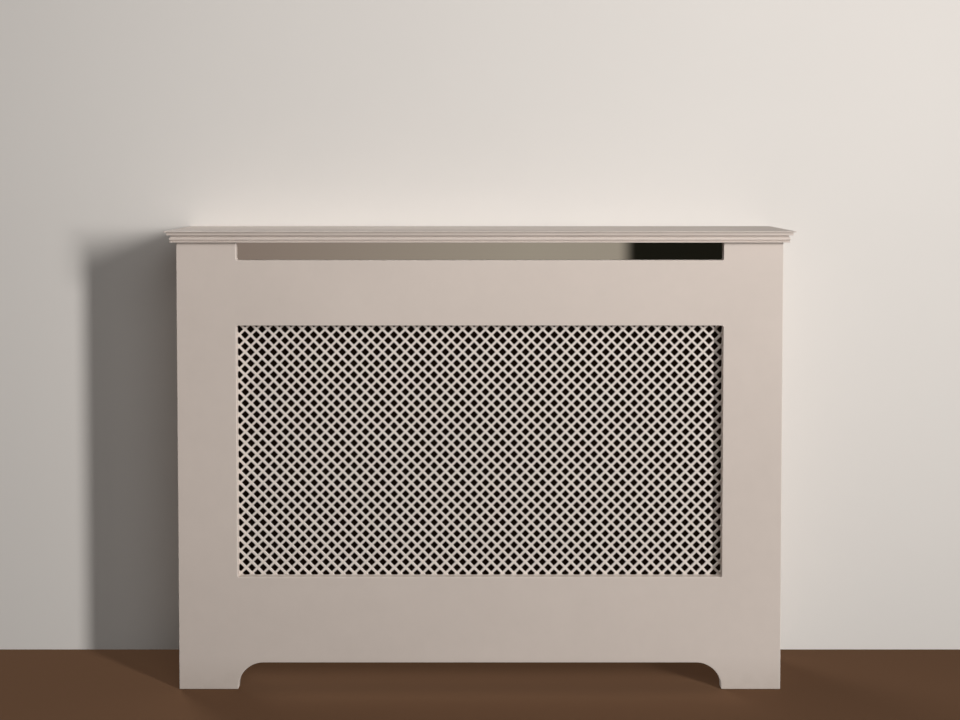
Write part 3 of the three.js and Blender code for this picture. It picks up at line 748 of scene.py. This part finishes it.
def makeCamFittings():
    for side, sign in (("left", -1), ("right", 1)):
        for level in ("low", "high", "top"):
            low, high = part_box(f"cam_{side}_{level}")
            boltAlong = (0, 0, 1) if level == "top" else (0, -1, 0)
            faceAlong = (-sign, 0, 0)
            middle = high.x - cam["face"] if sign < 0 else low.x + cam["face"]
            centre = (middle, (low.y + high.y) / 2, (low.z + high.z) / 2)
            across = np.cross(boltAlong, faceAlong)
            camAxes = np.stack([across, np.array(boltAlong, float), np.array(faceAlong, float)])
            makeCam(f"cam_{side}_{level}", f"{side}_{level}_cam", centre, camAxes, cam)
            makeCamBolt(f"cam_bolt_{side}_{level}", centre, localAxes(boltAlong, across), camBolt)


dowel = {"radius": 0.004, "flutes": 18, "fluteDepth": 0.00028, "chamfer": 0.001, "columnsEach": 6}


def makeDowel(name, size):
    # fluted peg: radius less depth * (1 - |sin(n a / 2)|) between its chamfered ends, where the flutes fade;
    # each step is (out, along, share of the flute's depth)
    low, high = (np.array(corner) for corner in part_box(name))
    axis = int(np.argmax(high - low))
    start, end = low[axis], high[axis]
    along = np.eye(3)[axis]
    across = np.eye(3)[0 if axis else 1]
    origin = (low + high) / 2
    origin[axis] = 0
    columns = size["flutes"] * size["columnsEach"]
    turn = np.linspace(0, 2 * math.pi, columns, endpoint=False)
    flute = size["fluteDepth"] * (1 - np.abs(np.sin(size["flutes"] * turn / 2)))
    steps = np.array([(-size["chamfer"], 0, 0), (0, size["chamfer"], 0.2), (0, size["chamfer"] * 2, 1)])
    head = np.array([[size["radius"] + a, start + b, c] for a, b, c in steps])
    tail = np.array([[size["radius"] + a, end - b, c] for a, b, c in steps[::-1]])
    rings = np.concatenate([head, tail])
    surface = Surface()
    grid = turnedGrid(rings[:, :1] - rings[:, 2:] * flute[None, :], rings[:, 1], columns)
    addTurned(surface, grid, localAxes(along, across), origin)
    return finishPiece(f"{name}_fluted", surface, bareBeech, "cabinet", [name])


wallBracket = {"leg": 0.030, "width": 0.020, "thickness": 0.002, "bendRadius": 0.0028, "cornerRadius": 0.003,
               "cornerSegments": 6, "arris": 0.0003, "screwHole": 0.00205, "wallHole": 0.0025,
               "screwSpots": (0.007, 0.021), "wallSpot": 0.016, "holeSegments": 24, "bendCuts": 9}


def makeBracket(name, size):
    # a flat strip with drilled holes, bent square: beyond the bend's start each point turns about its centre,
    # (y, z) = centre + (radius - depth) * (sin a, cos a), a from 0 to 90 degrees
    low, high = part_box(name)
    middleX, backY, topZ = (low.x + high.x) / 2, high.y, high.z
    radius, thickness = size["bendRadius"], size["thickness"]
    bendStart = size["leg"] - radius
    bendLength = (radius - thickness / 2) * math.pi / 2
    total = 2 * bendStart + bendLength
    half = size["width"] / 2
    outline = roundedOutline([(0, -half), (total, -half), (total, half), (0, half)],
                             size["cornerRadius"], size["cornerSegments"])
    holes = [((spot, 0), size["screwHole"]) for spot in size["screwSpots"]]
    holes.append(((total - (size["leg"] - size["wallSpot"]), 0), size["wallHole"]))

    def lay(flat, depth):
        return np.stack([flat[:, 0], flat[:, 1], np.full(len(flat), -depth)], axis=1)

    surface = Surface()
    profile = arrisProfile(thickness, size["arris"])
    surface.addGrid(edgeBand(outline, profile, lay), profile[:, 2])
    for centre, holeRadius in holes:
        drilled = circleOutline(centre, holeRadius, size["holeSegments"])
        surface.addGrid(np.stack([lay(drilled, 0), lay(drilled, thickness)]))
    data = surface.toMesh(name + "_flat")
    mesh = bmesh.new()
    mesh.from_mesh(data)
    bmesh.ops.remove_doubles(mesh, verts=mesh.verts, dist=mergeDistance)
    fillFlat(mesh, 2, (0, -thickness))
    for cut in np.linspace(bendStart, bendStart + bendLength, size["bendCuts"]):
        geometry = mesh.verts[:] + mesh.edges[:] + mesh.faces[:]
        bmesh.ops.bisect_plane(mesh, geom=geometry, plane_co=(cut, 0, 0), plane_no=(1, 0, 0),
                               dist=cutDistance)
    mesh.to_mesh(data)
    mesh.free()
    flat = np.zeros(len(data.vertices) * 3)
    data.vertices.foreach_get("co", flat)
    along, across, depth = flat.reshape(-1, 3).T
    depth = -depth
    angle = np.clip((along - bendStart) / bendLength, 0, 1) * math.pi / 2
    past = np.maximum(along - bendStart - bendLength, 0)
    before = np.minimum(along, bendStart)
    y = backY - size["leg"] + before + (radius - depth) * np.sin(angle)
    z = topZ - radius + (radius - depth) * np.cos(angle) - past
    bent = np.stack([middleX + across, y, z], axis=1)
    data.vertices.foreach_set("co", bent.reshape(-1))
    return finishMesh(f"{name}_bent", data, platedSteel, "cabinet", [name], smooth=False)


makeScrews(screw)
makeCamFittings()
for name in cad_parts:
    if name.startswith("dowel"):
        makeDowel(name, dowel)
makeBracket("left_wall_bracket", wallBracket)
makeBracket("right_wall_bracket", wallBracket)


stage = {"wall": (0.70, 0.665, 0.63), "wallGap": 0.0006, "cloud": 0.03, "floor": (0.150, 0.082, 0.047),
         "bounce": (0.12, 0.105, 0.092), "floorDrop": 0.0002, "reach": 9.0}
# painted shade and light on the backdrop inside the cover: dark colours, a glow for light through the slot,
# and its shadowed right end
wallShade = {"half": 0.50, "top": 0.81, "openHalf": 0.56, "openTop": 0.83,
             "glowFade": (0.5, 0.72), "litFade": (-0.45, 0.1), "darkFade": (0.262, 0.300),
             "left": (0.215, 0.167, 0.136), "middle": (0.30, 0.26, 0.205), "dark": (0.008, 0.0075, 0.005)}
# painted shade: a near-black board behind the lattice stands for the shade inside the cover
shadeBoard = {"tone": (0.012, 0.0065, 0.0035), "gap": 0.004, "half": 0.44, "low": 0.19, "high": 0.66}


def makeStagePlane(name, corners, material):
    data = bpy.data.meshes.new(name)
    data.from_pydata(corners, [], [(0, 1, 2, 3)])
    data.materials.append(material)
    plane = bpy.data.objects.new(name, data)
    scene.collection.objects.link(plane)
    return plane


def seenDirectly(tree):
    # 1 for what the camera, a reflection or clear glass shows, 0 for the light that surfaces throw about
    path = addNode(tree, "ShaderNodeLightPath").outputs
    shiny = addMath(tree, "ADD", path["Is Glossy Ray"], path["Is Transmission Ray"])
    return addMath(tree, "ADD", path["Is Camera Ray"], shiny, clamped=True)


def stretchMask(tree, spot, half, top):
    # 1 on the stretch of backdrop between -half and half and below top
    reach = addNode(tree, "ShaderNodeMath", {0: spot["X"]}, operation="ABSOLUTE").outputs[0]
    inside = addMath(tree, "LESS_THAN", reach, half)
    under = addMath(tree, "LESS_THAN", spot["Z"], top)
    return addMath(tree, "MULTIPLY", inside, under)


def shadeBackdrop(tree, place, tone, seen, shade):
    # painted shade: the stretch inside the cover is painted dark, with a painted glow high up that stands for
    # light coming in through the slot and ends in a painted shadow to the right;
    # a slightly larger stretch is open to reflections
    spot = addNode(tree, "ShaderNodeSeparateXYZ", {"Vector": place}).outputs
    within = stretchMask(tree, spot, shade["half"], shade["top"])
    covered = stretchMask(tree, spot, shade["openHalf"], shade["openTop"])
    toCamera = addNode(tree, "ShaderNodeLightPath").outputs["Is Camera Ray"]
    shown = addNode(tree, "ShaderNodeMix", {"Factor": covered, 2: seen, 3: toCamera}).outputs[0]
    high = addRange(tree, spot["Z"], shade["glowFade"])
    along = addRange(tree, spot["X"], shade["litFade"])
    depth = addRange(tree, spot["X"], shade["darkFade"], interpolation_type="SMOOTHSTEP")
    lit = addTint(tree, along, shade["left"], shade["middle"])
    glow = addNode(tree, "ShaderNodeEmission", {
        "Color": addTint(tree, depth, lit, shade["dark"]),
        "Strength": addMath(tree, "MULTIPLY", within, high)}).outputs[0]
    return addTint(tree, within, tone, shade["dark"]), shown, glow


def makeBackdrop(name, colour, shade=None):
    # seen from the front only: it is open from behind, and to the light that surfaces throw about
    material, tree, output = startMaterial(name)
    place = addNode(tree, "ShaderNodeTexCoord").outputs["Object"]
    cloud = addNoise(tree, place, 1.3, 3.0)
    tone = addTint(tree, cloud, [c * (1 - stage["cloud"]) for c in colour],
                   [c * (1 + stage["cloud"]) for c in colour])
    seen = seenDirectly(tree)
    glow = None
    if shade:
        tone, seen, glow = shadeBackdrop(tree, place, tone, seen, shade)
    board = addNode(tree, "ShaderNodeBsdfDiffuse", {"Color": tone})
    if glow:
        board = addNode(tree, "ShaderNodeAddShader", {0: board.outputs[0], 1: glow})
    clear = addNode(tree, "ShaderNodeBsdfTransparent")
    behind = addNode(tree, "ShaderNodeNewGeometry").outputs["Backfacing"]
    shown = addMath(tree, "MULTIPLY", seen, addMath(tree, "SUBTRACT", 1.0, behind))
    mixed = addNode(tree, "ShaderNodeMixShader", {0: shown, 1: clear.outputs[0], 2: board.outputs[0]})
    tree.links.new(mixed.outputs[0], output.inputs["Surface"])
    return material


def makeFloor(name, colour, bounce):
    # brown where it is seen, neutral for the light that it throws back under the mouldings
    material, tree, output = startMaterial(name)
    tone = addTint(tree, seenDirectly(tree), bounce, colour)
    floor = addNode(tree, "ShaderNodeBsdfDiffuse", {"Color": tone})
    tree.links.new(floor.outputs[0], output.inputs["Surface"])
    return material


def uprightCorners(half, y, low, high):
    # a rectangle that faces the front
    return [(-half, y, low), (half, y, low), (half, y, high), (-half, y, high)]


def makeStage():
    # a backdrop behind the cover, a floor, and a near-black board of painted shade behind the lattice
    reach, floorZ = stage["reach"], -stage["floorDrop"]
    backdropY = cadBox[1].y + stage["wallGap"]
    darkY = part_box("grille_panel")[1].y + shadeBoard["gap"]
    floorCorners = [(-reach, -reach, floorZ), (reach, -reach, floorZ), (reach, reach, floorZ),
                    (-reach, reach, floorZ)]
    makeStagePlane("stage_wall", uprightCorners(reach, backdropY, 0, reach),
                   makeBackdrop("stageWall", stage["wall"], wallShade))
    makeStagePlane("stage_floor", floorCorners, makeFloor("stageFloor", stage["floor"], stage["bounce"]))
    darkCorners = uprightCorners(shadeBoard["half"], darkY, shadeBoard["low"], shadeBoard["high"])
    makeStagePlane("stage_painted_shade", darkCorners, makeBackdrop("stagePaintedShade", shadeBoard["tone"]))


lamps = {
    "key": {"place": (3.27, -3.02, 1.6), "aim": (-0.45, -0.08, 1.05), "width": 0.42, "height": 2.0,
            "spread": 90, "power": 53.0, "colour": (1, 0.985, 0.968)},
    "top": {"place": (0.6, -2.4, 2.1), "aim": (0, -0.08, 0.5), "width": 1.6, "height": 1.6,
            "spread": 180, "power": 16.0, "colour": (1, 0.99, 0.98)},
    "back": {"place": (-2.6, 3.0, 1.9), "aim": (0, 0.09, 0.45), "width": 2.0, "height": 2.0,
             "spread": 180, "power": 85.0, "colour": (1, 0.99, 0.98)},
}
surround = {"level": 0.12, "background": (0.86, 0.84, 0.81)}


def makeLamp(name, light):
    # a soft elliptical lamp, turned towards what it lights
    data = bpy.data.lights.new(name, "AREA")
    data.shape = "ELLIPSE"
    data.size = light["width"]
    data.size_y = light["height"]
    data.energy = light["power"]
    data.color = light["colour"]
    data.spread = math.radians(light["spread"])
    lamp = bpy.data.objects.new(name, data)
    lamp.location = light["place"]
    direction = np.array(light["aim"]) - np.array(light["place"])
    flatLength = math.hypot(direction[0], direction[1])
    lamp.rotation_euler = (math.pi / 2 + math.atan2(direction[2], flatLength), 0,
                           math.atan2(direction[1], direction[0]) - math.pi / 2)
    scene.collection.objects.link(lamp)


def makeWorld(level, background):
    # even light all round; the camera and reflections see a plain pale background
    world = bpy.data.worlds.new("surround")
    world.use_nodes = True
    tree = world.node_tree
    tree.nodes.clear()
    output = tree.nodes.new("ShaderNodeOutputWorld")
    even = addNode(tree, "ShaderNodeBackground", {"Color": (1, 1, 1, 1), "Strength": level})
    plain = addNode(tree, "ShaderNodeBackground", {"Color": (*background, 1), "Strength": 1.0})
    mixed = addNode(tree, "ShaderNodeMixShader", {
        0: seenDirectly(tree), 1: even.outputs[0], 2: plain.outputs[0]})
    tree.links.new(mixed.outputs[0], output.inputs["Surface"])
    scene.world = world


makeStage()
for name, light in lamps.items():
    makeLamp(name, light)
makeWorld(surround["level"], surround["background"])
